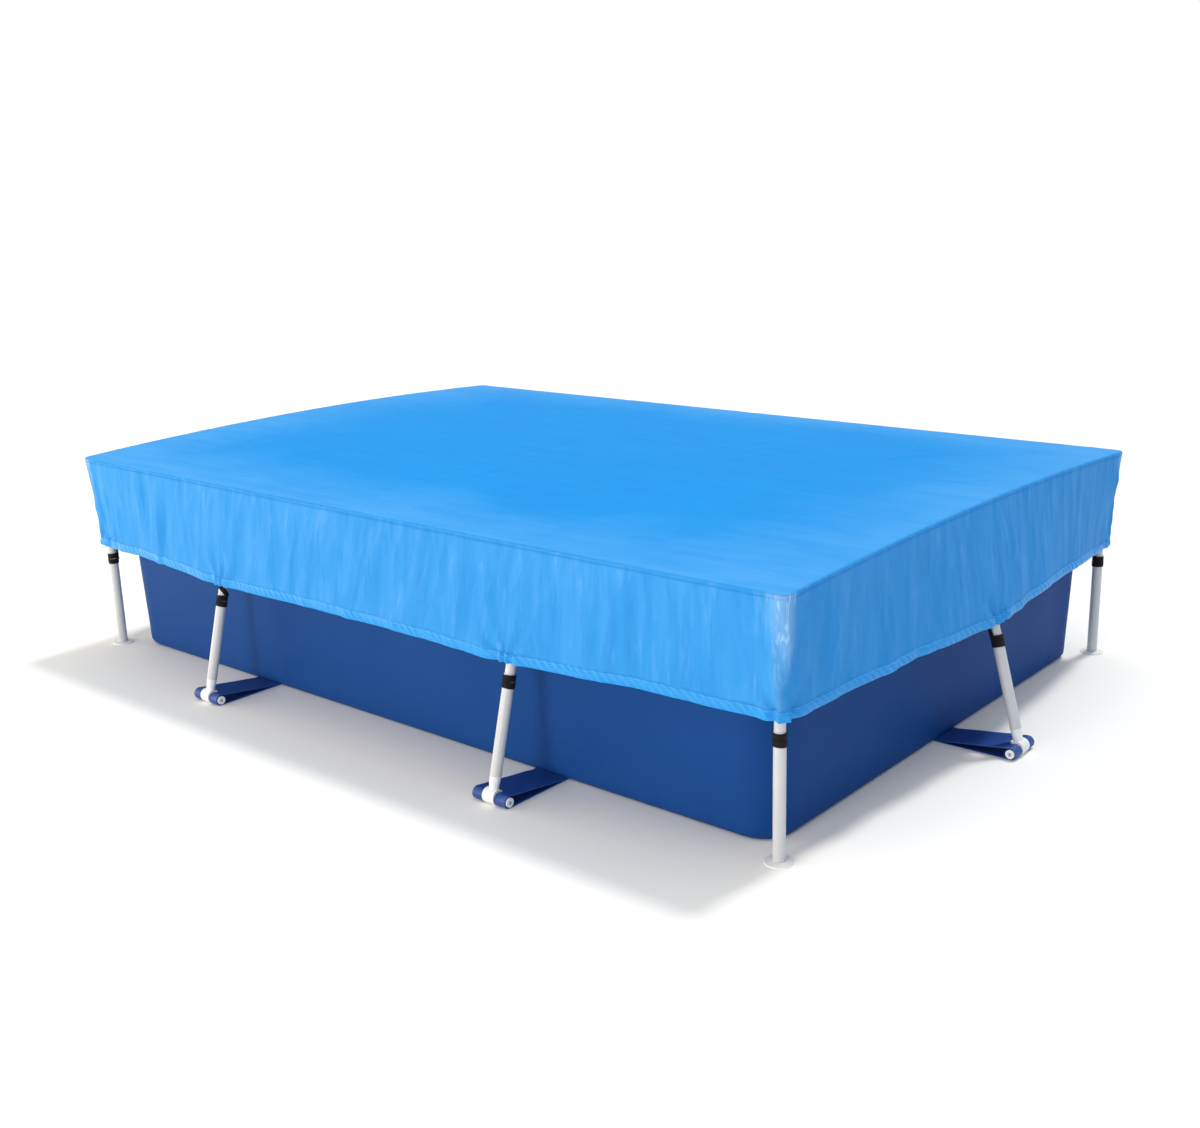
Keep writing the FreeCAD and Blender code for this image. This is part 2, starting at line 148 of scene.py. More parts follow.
floor_reach = 60.0
floor_finish, shader, start = finish("studio_floor")
mottle = start.spot().noise(0.7)
feed(shader, Base_Color=start.mixed(mottle, (0.935, 0.925, 0.895, 1), (0.965, 0.955, 0.925, 1)),
     Roughness=0.7, Specular_IOR_Level=0.15)
floor_mesh = bpy.data.meshes.new("floor")
corners = [(x * floor_reach, y * floor_reach, 0) for x, y in ((-1, -1), (1, -1), (1, 1), (-1, 1))]
floor_mesh.from_pydata(corners, [], [(0, 1, 2, 3)])
floor_mesh.materials.append(floor_finish)
floor = bpy.data.objects.new("floor", floor_mesh)
bpy.context.collection.objects.link(floor)

backdrop_finish = bpy.data.materials.new("studio_wall")
backdrop_finish.use_nodes = True
backdrop_finish.node_tree.nodes.clear()
glow = Link(backdrop_finish.node_tree).node("ShaderNodeEmission", Color=(1, 1, 1, 1), Strength=1.0)
Link(backdrop_finish.node_tree).node("ShaderNodeOutputMaterial", output=None, Surface=glow)
wall_height, wall_sunk = 60.0, 0.1
bpy.ops.mesh.primitive_cylinder_add(vertices=96, radius=floor_reach * 0.8, depth=wall_height,
                                    location=(0, 0, wall_height / 2 - wall_sunk))
backdrop = bpy.context.object
backdrop.name = "backdrop"
backdrop.data.materials.append(backdrop_finish)
backdrop.visible_diffuse = backdrop.visible_glossy = backdrop.visible_shadow = False
backdrop.visible_transmission = backdrop.visible_volume_scatter = False

room = bpy.data.worlds.new("room")
room.use_nodes = True
start = Link(room.node_tree)
rightward, _, upward = start.node("ShaderNodeTexCoord").axes()
window = rightward.above(0.15, 0.95) * (1 - upward.above(0.2, 0.8))
sky = upward.node("ShaderNodeMapRange", Value=upward, i1=0.0, i2=1.0, i3=0.30, i4=1.0) + window * 0.26
background = room.node_tree.nodes["Background"]
feed(background, Color=start.mixed(window, (1.0, 0.975, 0.945, 1), (0.34, 0.68, 1.0, 1)), Strength=sky)
bpy.context.scene.world = room
bpy.context.scene.view_settings.view_transform = "Standard"


def lamp(name, kind, place, aim, strength, size, colour=(1, 1, 1)):
    """A sun, whose size is an angle, or a rectangle of two lengths."""
    light = bpy.data.lights.new(name, kind)
    light.energy, light.color = strength, colour
    if kind == "SUN":
        light.angle = size
    else:
        light.shape, light.size, light.size_y = "RECTANGLE", *size
    holder = bpy.data.objects.new(name, light)
    bpy.context.collection.objects.link(holder)
    holder.location = place
    holder.rotation_euler = (Vector(aim) - Vector(place)).to_track_quat("-Z", "Y").to_euler()


lamp("overhead", "SUN", place=(0.25, 2.1, 4.6), aim=(0, 0, 0), strength=1.55, size=math.radians(8))
lamp("left_box", "AREA", place=(-6.5, -5.2, 1.2), aim=(-0.2, -0.9, 0.4), strength=362, size=(7.0, 2.6),
     colour=(1.0, 0.90, 0.74))
lamp("front_card", "AREA", place=(1.0, -7.6, 1.0), aim=(1.2, -1.0, 0.5), strength=190, size=(1.6, 1.6),
     colour=(1.0, 0.92, 0.80))


# Steel frame
# Round steel tubes and welded joints, coated in white powder that shows a fine orange peel
# and picks up a little dust towards the ground.
def paint(nodes, material):
    """Gives CAD nodes their finish."""
    for name in nodes:
        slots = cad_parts[name].material_slots
        if slots:
            slots[0].material = material
        else:
            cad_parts[name].data.materials.append(material)


powder_coat, shader, start = finish("powder_coat")
spot = start.spot()
height = spot.axes()[2]
cloudy = spot.noise(9.0, 4.0)
dust = (1 - height.above(0.0, 0.35)) * cloudy.above(0.35, 0.75)
peel = spot.noise(650.0, 2.0)
white = start.mixed(cloudy, (0.50, 0.515, 0.55, 1), (0.57, 0.58, 0.61, 1))
feed(shader,
     Base_Color=start.mixed(dust * 0.35, white, (0.62, 0.59, 0.54, 1)),
     Roughness=0.34 + 0.12 * cloudy + 0.25 * dust,
     Normal=peel.bump(0.25, 0.0006),
     Coat_Weight=0.15,
     Coat_Roughness=0.3)
steel_starts = ("corner_joints", "corner_legs", "tee_joints", "side_legs")
paint([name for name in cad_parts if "_rail_" in name or name.startswith(steel_starts)], powder_coat)


# Legs in plan
# Four upright legs stand under the corners and six leaning ones along the sides. Everything
# below is placed from these lines and from the frame's own boxes.
leg_radius = 0.0165
half_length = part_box("corner_legs_front")[1][0] - leg_radius
half_width = -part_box("corner_legs_front")[0][1] - leg_radius
pin_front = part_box("strap_pin_front_right")
knuckle_half = 0.021
support_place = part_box("leg_shoes_front")[1][0] - knuckle_half
pin_reach = -(pin_front[0][1] + pin_front[1][1]) / 2 - half_width
pin_height = (pin_front[0][2] + pin_front[1][2]) / 2
rail_axis = (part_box("front_rail_middle")[0][2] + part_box("front_rail_middle")[1][2]) / 2
knuckle_height = 0.022
lean = math.atan2(pin_reach, rail_axis - knuckle_height)
leg_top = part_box("corner_legs_front")[1][2]
side_data = [
    (0, half_length, half_width, (-support_place, support_place)),
    (1, half_width, half_length, (0.0,)),
    (2, half_length, half_width, (-support_place, support_place)),
    (3, half_width, half_length, (0.0,)),
]


def to_world(quarter, along, outward):
    """Plan point of a side, seen with its outward way towards the viewer, in the frame."""
    x, y = along, -outward
    for _ in range(quarter):
        x, y = -y, x
    return x, y


# Feet and shoes
# Flat dished discs under the corner legs and knuckle shoes in the side legs' ends, both
# injection moulded in white plastic with a fine grain, and scuffed near the ground.
white_plastic, shader, start = finish("moulded_plastic")
spot = start.spot()
height = spot.axes()[2]
grain = spot.noise(900.0, 2.0)
scuff = spot.noise(45.0, 5.0, 0.7).above(0.52, 0.75)
low = 1 - height.above(0.0, 0.05)
feed(shader,
     Base_Color=start.mixed(scuff * low * 0.5, (0.80, 0.81, 0.83, 1), (0.55, 0.53, 0.50, 1)),
     Roughness=0.42 + 0.2 * scuff,
     Normal=grain.bump(0.3, 0.0004))
paint(["corner_feet"] + [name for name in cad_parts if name.startswith("leg_shoes")], white_plastic)


# Strap pins
# White moulded pins through the straps' loops and the knuckles. Each end has a small round
# hollow in its middle, where the mould's core stood, its shade painted dark into the colour.
pin_plastic, shader, start = finish("pin_plastic")
spot = start.spot()
across_x, across_y, height = spot.axes()
off_ends = abs(abs(across_x) - (half_length + pin_reach))
off_sides = abs(abs(across_y) - (half_width + pin_reach))
off_axis = (start.math("MINIMUM", off_ends, off_sides) ** 2 + (height - pin_height) ** 2) ** 0.5
# Painted shade: the hollow's mask also darkens the colour towards grey blue.
hollow_with_painted_shade = 1 - off_axis.above(0.0035, 0.0065)
grain = spot.noise(900.0, 2.0)
worn = spot.noise(60.0, 4.0)
feed(shader,
     Base_Color=start.mixed(hollow_with_painted_shade * 0.85, start.mixed(worn, (0.78, 0.80, 0.84, 1), (0.84, 0.85, 0.88, 1)),
                            (0.16, 0.20, 0.30, 1)),
     Roughness=0.35 + 0.15 * worn,
     Normal=(grain * 0.15 - hollow_with_painted_shade).bump(0.5, 0.0020))
paint([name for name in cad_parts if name.startswith("strap_pin")], pin_plastic)


# Liner bag
# A laminated deep blue sheet welded into a bag: four walls with round corners, a rounded
# bottom edge and a floor. It hangs from the rails and carries the water.
arc_steps = 3


def side_edge(side, corner, radius, steps, reach):
    """One side's plan from mid-corner to mid-corner: points and facings in the frame."""
    quarter, half, line, supports = side
    end = half + corner - radius
    turn = np.radians(45 - 45 * np.arange(arc_steps) / arc_steps)
    run = np.linspace(-end, end, steps + 1)
    along = np.concatenate([-end - radius * np.sin(turn), run, end + radius * np.sin(turn[::-1])])
    middle = line + corner - radius
    straight = reach(run, supports) if reach else 0 * run + corner
    outward = np.concatenate([middle + radius * np.cos(turn), line + straight,
                              middle + radius * np.cos(turn[::-1])])
    face_along = np.concatenate([-np.sin(turn), 0 * run, np.sin(turn[::-1])])
    face_out = np.sqrt(1 - face_along ** 2)
    place = np.stack(to_world(quarter, along, outward), 1)
    face = np.stack(to_world(quarter, face_along, face_out), 1)
    return place, face


def plan_ring(corner, radius, steps, reach=None):
    """Places and facings of all four sides in turn. Each stands outside its leg line by what corner
    says, or by what reach says along its straight run."""
    edges = [side_edge(side, corner, radius, steps[side[0] % 2], reach) for side in side_data]
    places = np.concatenate([place[:-1] for place, _ in edges])
    faces = np.concatenate([face[:-1] for _, face in edges])
    return places, faces


def run_along(points):
    """Distance walked along a line of points, one value for each."""
    return np.concatenate([[0], np.cumsum(np.hypot(*np.diff(points, axis=0).T))])


def bands(rings):
    """Faces between each closed ring and the next."""
    count = len(rings[0])
    here = np.arange(count)
    after = (here + 1) % count
    return [np.stack([here + k * count, here + (k + 1) * count,
                      after + (k + 1) * count, after + k * count], -1) for k in range(len(rings) - 1)]


def capped_skin(name, rings, cap_height, unfolded, steps, material, thickness):
    """Sheet with a flat cap inside the first ring and a skirt through the others."""
    columns, rows = steps[0] + 2 * arc_steps, steps[1] + 2 * arc_steps
    count = len(rings[0])
    first = rings[0]
    front, right = first[:columns + 1], first[columns:columns + rows + 1]
    back = first[columns + rows:2 * columns + rows + 1][::-1]
    left = np.concatenate([first[2 * columns + rows:], first[:1]])[::-1]
    u = np.linspace(0, 1, columns + 1)[:, None, None]
    v = np.linspace(0, 1, rows + 1)[None, :, None]
    patch = ((1 - v) * front[:, None] + v * back[:, None] + (1 - u) * left[None] + u * right[None]
             - (1 - u) * (1 - v) * front[0] - u * (1 - v) * front[-1]
             - (1 - u) * v * back[0] - u * v * back[-1])
    inner = patch[1:-1, 1:-1].reshape(-1, 3).copy()
    inner[:, 2] = cap_height(inner[:, 0], inner[:, 1])
    index = np.zeros((columns + 1, rows + 1), int)
    index[1:-1, 1:-1] = count * len(rings) + np.arange(len(inner)).reshape(columns - 1, rows - 1)
    index[:, 0] = np.arange(columns + 1)
    index[-1, :] = columns + np.arange(rows + 1)
    index[:, -1] = (columns + rows + np.arange(columns + 1))[::-1]
    index[0, 1:] = (2 * columns + rows + np.arange(rows + 1))[::-1][1:] % count
    index[0, 0] = 0
    cap = np.stack([index[:-1, :-1], index[1:, :-1], index[1:, 1:], index[:-1, 1:]], -1).reshape(-1, 4)
    points = np.concatenate(list(rings) + [inner])
    flat = np.concatenate([np.concatenate(unfolded), inner[:, :2]])
    return cloth(name, points, np.concatenate([cap] + bands(rings)), flat, material, thickness)


def cloth(name, points, faces, flat, material, thickness):
    """Object of four-sided faces with a thickness inwards and its unfolded plan as a UV map."""
    mesh = bpy.data.meshes.new(name)
    mesh.vertices.add(len(points))
    mesh.vertices.foreach_set("co", np.asarray(points, np.float32).ravel())
    mesh.loops.add(faces.size)
    mesh.loops.foreach_set("vertex_index", faces.ravel().astype(np.int32))
    mesh.polygons.add(len(faces))
    mesh.polygons.foreach_set("loop_start", np.arange(0, faces.size, 4, dtype=np.int32))
    mesh.polygons.foreach_set("loop_total", np.full(len(faces), 4, np.int32))
    mesh.polygons.foreach_set("use_smooth", np.ones(len(faces), bool))
    mesh.update(calc_edges=True)
    layer = mesh.uv_layers.new(name="unfolded")
    layer.data.foreach_set("uv", np.asarray(flat, np.float32)[faces.ravel()].ravel())
    mesh.validate()
    mesh.materials.append(material)
    piece = bpy.data.objects.new(name, mesh)
    bpy.context.collection.objects.link(piece)
    if thickness:
        shell = piece.modifiers.new("thickness", "SOLIDIFY")
        shell.thickness, shell.offset = thickness, -1
        shell.use_even_offset = False
    return piece


liner_finish, shader, start = finish("laminated_liner")
split_u, split_v = start.unfolded()
spot = start.spot()
scrim = (split_u * 2800.0).sine() * 0.5 + (split_v * 2800.0).sine() * 0.5
cloudy = spot.noise(3.0, 4.0)
fine = spot.noise(60.0, 4.0)
feed(shader,
     Base_Color=start.mixed(cloudy, (0.004, 0.048, 0.210, 1), (0.008, 0.061, 0.245, 1)),
     Roughness=0.42 + 0.16 * cloudy + 0.05 * fine,
     Normal=(scrim * 0.4 + fine).bump(0.35, 0.0005),
     Specular_IOR_Level=0.08)

liner_inset = half_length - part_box("liner_wall")[1][0]
flat_inset = half_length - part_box("liner_floor")[1][0]
liner_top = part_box("liner_wall")[1][2]
corner_inset = 0.150
edge_round = 0.018
edge_power = 1.35
edge_rows, wall_rows = 8, 30
liner_sheet = 0.0012
ground_gap = 0.0014
floor_weld = (edge_round + 0.012, edge_round + 0.034)
weld_ply = 0.0008
sleeve_weld, weld_fade = 0.93, 0.05
slack_gain, pleat_low = 1.4, 0.55
pucker_height, pucker_spread = 0.045, 0.035
floor_lift, floor_wave = 0.0026, 0.0011
closing_step = 0.02
liner_steps = (150, 100)
wall_waves = np.random.default_rng(11)


def waves(rng, count, run_length, width, height):
    """Random soft ridges along a closed run: middle, half width and height of each."""
    return (rng.uniform(0, run_length, count), rng.uniform(*width, count),
            rng.uniform(*height, count) * rng.choice([-1, 1], count))


def ripple(run, run_length, ridges):
    """Height of all the ridges together at places along the run."""
    total = np.zeros_like(run)
    for middle, width, height in zip(*ridges):
        away = (run - middle + run_length / 2) % run_length - run_length / 2
        total += height * np.exp(-(away / width) ** 2)
    return total


liner_run = 4 * (half_length + half_width) - 8 * flat_inset
slack = waves(wall_waves, 46, liner_run, (0.08, 0.22), (0.0006, 0.0022))
pleats = waves(wall_waves, 150, liner_run, (0.010, 0.028), (0.0008, 0.0030))
puckers = waves(wall_waves, 170, liner_run, (0.008, 0.020), (0.0003, 0.0011))
profile = []
for share in np.linspace(0, 1, edge_rows + 1):
    rise = edge_round * (1 - (1 - share ** edge_power) ** (1 / edge_power))
    profile.append((flat_inset - edge_round * share, rise))
for share in np.linspace(0, 1, wall_rows + 1)[1:]:
    inset = flat_inset - edge_round + (liner_inset - flat_inset + edge_round) * share
    profile.append((inset, edge_round + (liner_top - edge_round) * share))
rings, unfolded = [], []
walked = 0.0
for number, (inset, height) in enumerate(profile):
    place, face = plan_ring(-inset, corner_inset - inset, liner_steps)
    if number == 0:
        first_place, first_face = place, face
        run = run_along(place)
        run *= liner_run / (run[-1] + closing_step)
    else:
        walked += math.hypot(inset - profile[number - 1][0], height - profile[number - 1][1])
    up = height / liner_top
    push = ripple(run, liner_run, slack) * math.sin(math.pi * min(up, 1)) * slack_gain
    under_weld = min(1, max(0, (sleeve_weld - up) / weld_fade))
    pleated = max(0, (up - pleat_low) / (1 - pleat_low)) ** 2 * (0.1 + 0.9 * under_weld)
    push += ripple(run, liner_run, pleats) * pleated
    push += ripple(run, liner_run, puckers) * math.exp(-((height - pucker_height) / pucker_spread) ** 2)
    push += weld_ply if floor_weld[0] < height < floor_weld[1] else 0.0
    rings.append(np.column_stack([place + face * push[:, None], np.full(len(place), ground_gap + height)]))
    unfolded.append(first_place + first_face * walked)


def liner_floor(x, y):
    """The floor lies flat but for a few low wrinkles."""
    return floor_lift + floor_wave * np.sin(9 * x + 4 * np.sin(3 * y)) * np.sin(7 * y + 2 * np.sin(4 * x))


liner = capped_skin("liner_bag", rings, liner_floor, unfolded, liner_steps, liner_finish, liner_sheet)
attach(liner, "root")
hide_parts("liner_wall", "liner_floor")
floor_size = (2 * (half_length - flat_inset), 2 * (half_width - flat_inset))
wall_taper = flat_inset - liner_inset
wall_reach = math.hypot(wall_taper, liner_top)
floor_size[0] * floor_size[1] + (2 * sum(floor_size) + 4 * wall_taper) * wall_reach


# Rail sleeves
# Strips of the same laminate welded to the liner's top edge and folded over the rails,
# one between each pair of joints, which hang the bag from the frame.
sleeve_radius = 0.0200
sleeve_sheet = 0.0010
sleeve_foot = 0.045
sleeve_out = 0.0014
sleeve_bend, sleeve_step = 0.010, 0.02
sleeve_end_out, sleeve_end_drop = 0.0012, 0.004
sleeve_wave = 0.0006
wall_slope = (flat_inset - edge_round - liner_inset) / (liner_top - edge_round)
tee_clear = 0.075


def sleeve_path():
    """Section of a sleeve as (outward, height): up the wall, round the rail and down again."""
    wall = -liner_inset + sleeve_out
    foot = (wall - wall_slope * sleeve_foot, liner_top - sleeve_foot)
    gap = math.hypot(wall, liner_top - rail_axis)
    tilt_in = math.atan2(liner_top - rail_axis, wall)
    open_half = math.acos(sleeve_radius / gap)
    turns = np.linspace(tilt_in - open_half, tilt_in + open_half - 2 * math.pi, 26)
    loop = [(sleeve_radius * math.cos(t), rail_axis + sleeve_radius * math.sin(t)) for t in turns]
    end = (wall + sleeve_end_out, liner_top - sleeve_end_drop)
    return [foot, (wall, liner_top - sleeve_bend)] + loop + [end]


points, faces, flat = [], [], []
section = np.array(sleeve_path())
section_run = run_along(section)
for quarter, half, line, supports in side_data:
    stops = [-half + corner_inset]
    for support in supports:
        stops += [support - tee_clear, support + tee_clear]
    stops.append(half - corner_inset)
    for begin, end in zip(stops[::2], stops[1::2]):
        count = max(2, round((end - begin) / sleeve_step))
        offset = len(points)
        for along in np.linspace(begin, end, count + 1):
            for (outward, height), walked in zip(section, section_run):
                sag = sleeve_wave * math.sin(43 * along + 3 * walked / 0.05)
                x, y = to_world(quarter, along, line + outward * (1 + sag))
                points.append((x, y, height + sag))
                flat.append((along, walked))
        width = len(section)
        for i in range(count):
            for j in range(width - 1):
                corner = offset + i * width + j
                faces.append((corner, corner + width, corner + width + 1, corner + 1))
sleeves = cloth("sleeve_cloth", np.array(points), np.array(faces), flat, liner_finish, sleeve_sheet)
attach(sleeves, "root")
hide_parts("rail_sleeves")


# Ground straps
# A strip of heavy dark laminate from under the liner's edge to each leaning leg. It is folded
# round the leg's pin in two loops and welded back on itself.
strap_finish, shader, start = finish("strap_laminate")
split_u, split_v = start.unfolded()
spot = start.spot()
scrim = (split_u * 2400.0).sine() * 0.5 + (split_v * 2400.0).sine() * 0.5
cloudy = spot.noise(14.0, 5.0)
fine = spot.noise(120.0, 4.0)
# Painted highlight: the strap's edges are coloured a lighter blue, as if catching the light.
painted_edge_highlight = abs(split_u).above(0.0560, 0.0605)
laminate = start.mixed(cloudy, (0.008, 0.050, 0.25, 1), (0.013, 0.064, 0.30, 1))
feed(shader,
     Base_Color=start.mixed(painted_edge_highlight * 0.6, laminate, (0.030, 0.110, 0.36, 1)),
     Roughness=0.38 + 0.2 * cloudy,
     Normal=(scrim * 0.5 + fine).bump(0.4, 0.0006),
     Specular_IOR_Level=0.45)

strap_width = 0.124
strap_ply = 0.0021
strap_half_slot = 0.022
strap_slot_depth = 0.028
strap_weld = 0.225
strap_gap = 0.0002
strap_border, strap_wave = 0.0004, 0.0003
strap_inner = -(flat_inset - 0.005)


def strap_path():
    """Middle line of the strap as (outward, height): out along the ground, round and back."""
    radius = pin_height - strap_ply / 2
    low, high = strap_ply / 2 + strap_gap, strap_ply * 1.5 + 2 * strap_gap
    weld = (pin_reach - strap_weld, high)
    reach, rise = weld[0] - pin_reach, weld[1] - pin_height
    touch = math.atan2(rise, reach) + 2 * math.pi - math.acos(radius / math.hypot(reach, rise))
    path = [(o, low) for o in np.linspace(strap_inner, pin_reach, 60)]
    for turn in np.linspace(-math.pi / 2, touch, 26)[1:]:
        path.append((pin_reach + radius * math.cos(turn), pin_height + radius * math.sin(turn)))
    last = path[-1]
    for share in np.linspace(0, 1, 27)[1:]:
        path.append((last[0] + (weld[0] - last[0]) * share, last[1] + (weld[1] - last[1]) * share))
    path += [(o, high) for o in np.linspace(weld[0], strap_inner, 30)[1:]]
    return np.array(path)


path = strap_path()
path_run = run_along(path)
tangent = np.gradient(path, axis=0)
tangent /= np.hypot(*tangent.T)[:, None]
outer_side = np.column_stack([tangent[:, 1], -tangent[:, 0]])
across = np.concatenate([np.linspace(-strap_width / 2, -strap_half_slot, 12),
                         np.linspace(-strap_half_slot, strap_half_slot, 12)[1:-1],
                         np.linspace(strap_half_slot, strap_width / 2, 12)])
for quarter, _, line, supports in side_data:
    for number, support in enumerate(supports):
        side_name = ["front", "right", "back", "left"][quarter]
        points, faces, flat = [], [], []
        for (outward, height), walked, away in zip(path, path_run, outer_side):
            for x in across:
                border = strap_border * math.exp(-((abs(x) - strap_width / 2 + 0.004) / 0.002) ** 2)
                swell = border + strap_wave * math.sin(90 * x + 60 * walked + 5 * support)
                along_x, along_y = to_world(quarter, support + x, line + outward + away[0] * swell)
                points.append((along_x, along_y, max(height + away[1] * swell, strap_ply / 2)))
                flat.append((x, walked))
        width = len(across)
        for i in range(len(path) - 1):
            for j in range(width - 1):
                in_slot = abs(across[j] + across[j + 1]) / 2 < strap_half_slot
                beyond = (path[i][0] + path[i + 1][0]) / 2 > pin_reach - strap_slot_depth
                if not (in_slot and beyond):
                    corner = i * width + j
                    faces.append((corner, corner + width, corner + width + 1, corner + 1))
        strap = cloth(f"strap_{side_name}_{number}", np.array(points), np.array(faces), flat,
                      strap_finish, strap_ply * 0.95)
        strap.modifiers["thickness"].offset = 0
        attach(strap, "root")
        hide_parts({0: "ground_straps_front", 1: "ground_straps_ends",
                            2: "ground_straps_back", 3: "ground_straps_ends"}[quarter])


# Drain valve
# A grey polypropylene valve low on the back wall, with a screw cap. Fine ribs round the
# cap's rim give the fingers a hold.
valve_finish, shader, start = finish("valve_plastic")
spot = start.spot()
grain = spot.noise(700.0, 2.0)
cloudy = spot.noise(30.0, 4.0)
across_x, across_y, height = spot.axes()
cap_low, cap_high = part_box("drain_cap")
cap_x, cap_z = (cap_low[0] + cap_high[0]) / 2, (cap_low[2] + cap_high[2]) / 2
cap_turn = start.math("ARCTAN2", height - cap_z, across_x - cap_x)
cap_rim = across_y.above(cap_low[1], cap_low[1] + 0.001)
cap_rim *= 1 - across_y.above(cap_high[1] - 0.002, cap_high[1])
ribs = (cap_turn * 28.0).sine() * cap_rim
feed(shader,
     Base_Color=start.mixed(cloudy, (0.55, 0.58, 0.61, 1), (0.63, 0.66, 0.69, 1)),
     Roughness=0.5 + 0.15 * cloudy,
     Normal=(ribs + grain * 0.12).bump(0.6, 0.0010))
paint(["drain_valve", "drain_cap"], valve_finish)


# Cover sheet
# A sky blue woven sheet, coated on both sides, cut as a top and four skirt panels that are
# sewn along the top edge. It lies over the rails and its skirt is drawn down to the hem.
cover_finish, shader, start = finish("coated_cover")
split_u, split_v = start.unfolded()
spot = start.spot()
weave = (split_u * 2100.0).sine() * (split_v * 2100.0).sine()
cloudy = spot.noise(2.2, 4.0)
across_x, across_y = spot.axes()[:2]
hanging = start.node("ShaderNodeVectorMath", {"operation": "MULTIPLY"}, i0=spot, i1=(1.0, 1.0, 0.20))
broad = hanging.noise(17.0, distortion=0.5)
streaks = hanging.noise(34.0, 5.0, 0.62)
slanting = start.node("ShaderNodeMapping", Vector=spot, Rotation=(0, 0, math.radians(-62)),
                      Scale=(1.0, 7.0, 1.0))
drawn = slanting.noise(3.4, 5.0, 0.6)
top_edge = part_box("cover_top")
crown_height = top_edge[1][2]
corner_out = top_edge[1][0] - half_length
cover_corner = 0.030
over_end = start.math("MAXIMUM", abs(split_u) - (half_length + corner_out - cover_corner))
over_side = start.math("MAXIMUM", abs(split_v) - (half_width + corner_out - cover_corner))
down_skirt = (over_end ** 2 + over_side ** 2) ** 0.5 - cover_corner
on_skirt = down_skirt.above(0.002, 0.014)
seam = 1 - abs(down_skirt - 0.018).above(0.001, 0.005)
edge_x = abs(across_x) / (half_length + 0.05)
edge_y = abs(across_y) / (half_width + 0.05)
# Painted sheen: the top is coloured paler and greyer towards its edges, as a reflection of the bright room.
near_edge = ((edge_x ** 6.0 + edge_y ** 6.0) ** 0.1667 + (cloudy - 0.5) * 0.4).above(0.62, 1.08)
painted_edge_sheen = near_edge * (1 - on_skirt) * (0.35 + 1.1 * drawn)
# Painted highlight: a pale crinkled strip mixed into the colour down each corner of the skirt.
near_corner = (edge_x + edge_y).above(1.950, 1.990) * on_skirt
crinkles = hanging.noise(60.0, 2.0, 0.5, distortion=1.2)
painted_corner_highlight = near_corner * crinkles.above(0.50, 0.66) * (1 - down_skirt.above(0.20, 0.29))
relief = broad * on_skirt * 3.4 + streaks * on_skirt * 0.5
relief += drawn * (1 - on_skirt) * 2.0 + weave * 0.03 - seam * 0.25
# Painted shade on the top: its colour follows the slanting creases as well as a random cloudy tone.
top_blue_and_crease_shade = start.mixed(cloudy * 0.4 + drawn * 0.6, (0.005, 0.250, 0.715, 1), (0.012, 0.333, 0.82, 1))
# Painted light and shade on the skirt: its colour is lighter and darker along the same folds as its relief.
skirt_blue_and_fold_shade = start.mixed(broad.above(0.3, 0.7) * 0.5 + streaks * 0.5,
                         (0.023, 0.245, 0.635, 1), (0.056, 0.300, 0.71, 1))
sheet_blue = start.mixed(on_skirt, start.mixed(painted_edge_sheen * 0.45, top_blue_and_crease_shade, (0.14, 0.44, 0.85, 1)), skirt_blue_and_fold_shade)
# Painted highlights: pale streaks on the crests of the skirt's folds.
blue_with_fold_highlights = start.mixed(streaks.above(0.54, 0.80) * on_skirt * 0.30, sheet_blue, (0.18, 0.44, 0.86, 1))
sewn_blue = start.mixed(seam * on_skirt * 0.45, blue_with_fold_highlights, (0.004, 0.17, 0.56, 1))
# The pale corner strips mixed into the colour below are painted highlights.
feed(shader,
     Base_Color=start.mixed(near_corner * 0.18 + painted_corner_highlight * 0.46, sewn_blue, (0.52, 0.76, 0.96, 1)),
     Roughness=0.36 + 0.14 * cloudy + 0.08 * streaks,
     Coat_Weight=near_corner * broad.above(0.30, 0.5),
     Coat_Roughness=0.12,
     Normal=relief.bump(0.6, 0.0060),
     Specular_IOR_Level=0.03)

arch_rise = 0.026
arch_radius = (half_width ** 2 + arch_rise ** 2) / (2 * arch_rise)
hem_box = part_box("cover_hem")
hem_low, hem_high = hem_box[0][2], hem_box[1][2]
hem_corner_out = 0.031
hem_rise, hem_rise_run = 0.009, 0.25
edge_roll, roll_rows, skirt_rows = 0.008, 5, 34
sheet_thickness = 0.0011
fold_out, fold_count, fold_clear = 0.0022, 31, 0.09
hem_lap = 0.004
below_hem = 0.028
wrinkle_fade = 0.08
fan_rays, fan_out, fan_reach = 9, 0.0060, 0.120
tuck_in, tuck_aside, tuck_width, tuck_rise = 0.0030, 0.030, 0.013, 0.06
slack_rise, calm_end, calm_side = 0.0022, 0.15, 0.12
seam_ply, seam_turn, seam_spread = 0.0006, math.radians(55), 0.30
stub_radius, hem_clear = 0.0147, 0.005
hem_support_out = (rail_axis - hem_low) * math.tan(lean) + stub_radius / math.cos(lean) + hem_clear
cover_steps = (430, 288)
cover_rng = np.random.default_rng(7)


def arch(y):
    """Height of the cover's top across the pool, without its wrinkles."""
    return crown_height - arch_radius + np.sqrt(arch_radius ** 2 - y ** 2)


def hem_reach(run, supports):
    """How far the drawn hem stands out of the leg line, along one side."""
    end = np.abs(run).max()
    stops = [(-end, hem_corner_out)] + [(s, hem_support_out) for s in supports] + [(end, hem_corner_out)]
    return np.interp(run, *zip(*stops))


